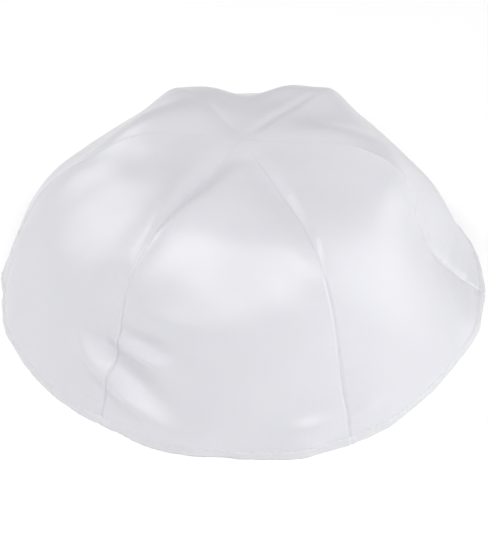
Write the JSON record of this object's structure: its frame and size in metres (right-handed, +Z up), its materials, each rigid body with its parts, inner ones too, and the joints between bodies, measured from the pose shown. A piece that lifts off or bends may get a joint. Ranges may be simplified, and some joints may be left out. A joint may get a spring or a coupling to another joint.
{
  "type": "kippah skullcap",
  "caption": "Soft domed skullcap of white satin, sewn from curved panels whose seams meet at the crown, with a narrow turned and topstitched hem. It is worn on the crown of the head.",
  "frame": {"origin": "on the surface that the cap stands on, under the middle of its outline", "axes": "+Z up through the crown, -Y towards the front panel, +X to the wearer's left as seen from the front, which is the right of the front view"},
  "size_m": [0.183, 0.1809, 0.0715],
  "materials": {
    "satin": "white polyester satin, smooth and softly glossy, plain back",
    "hem_satin": "the same satin folded double and topstitched in white thread"
  },
  "bodies": {
    "root": {"panel_front": "satin", "panel_front_right": "satin", "panel_back_right": "satin", "panel_back": "satin", "panel_back_left": "satin", "panel_front_left": "satin", "turned_hem": "hem_satin"}
  },
  "joints": []
}
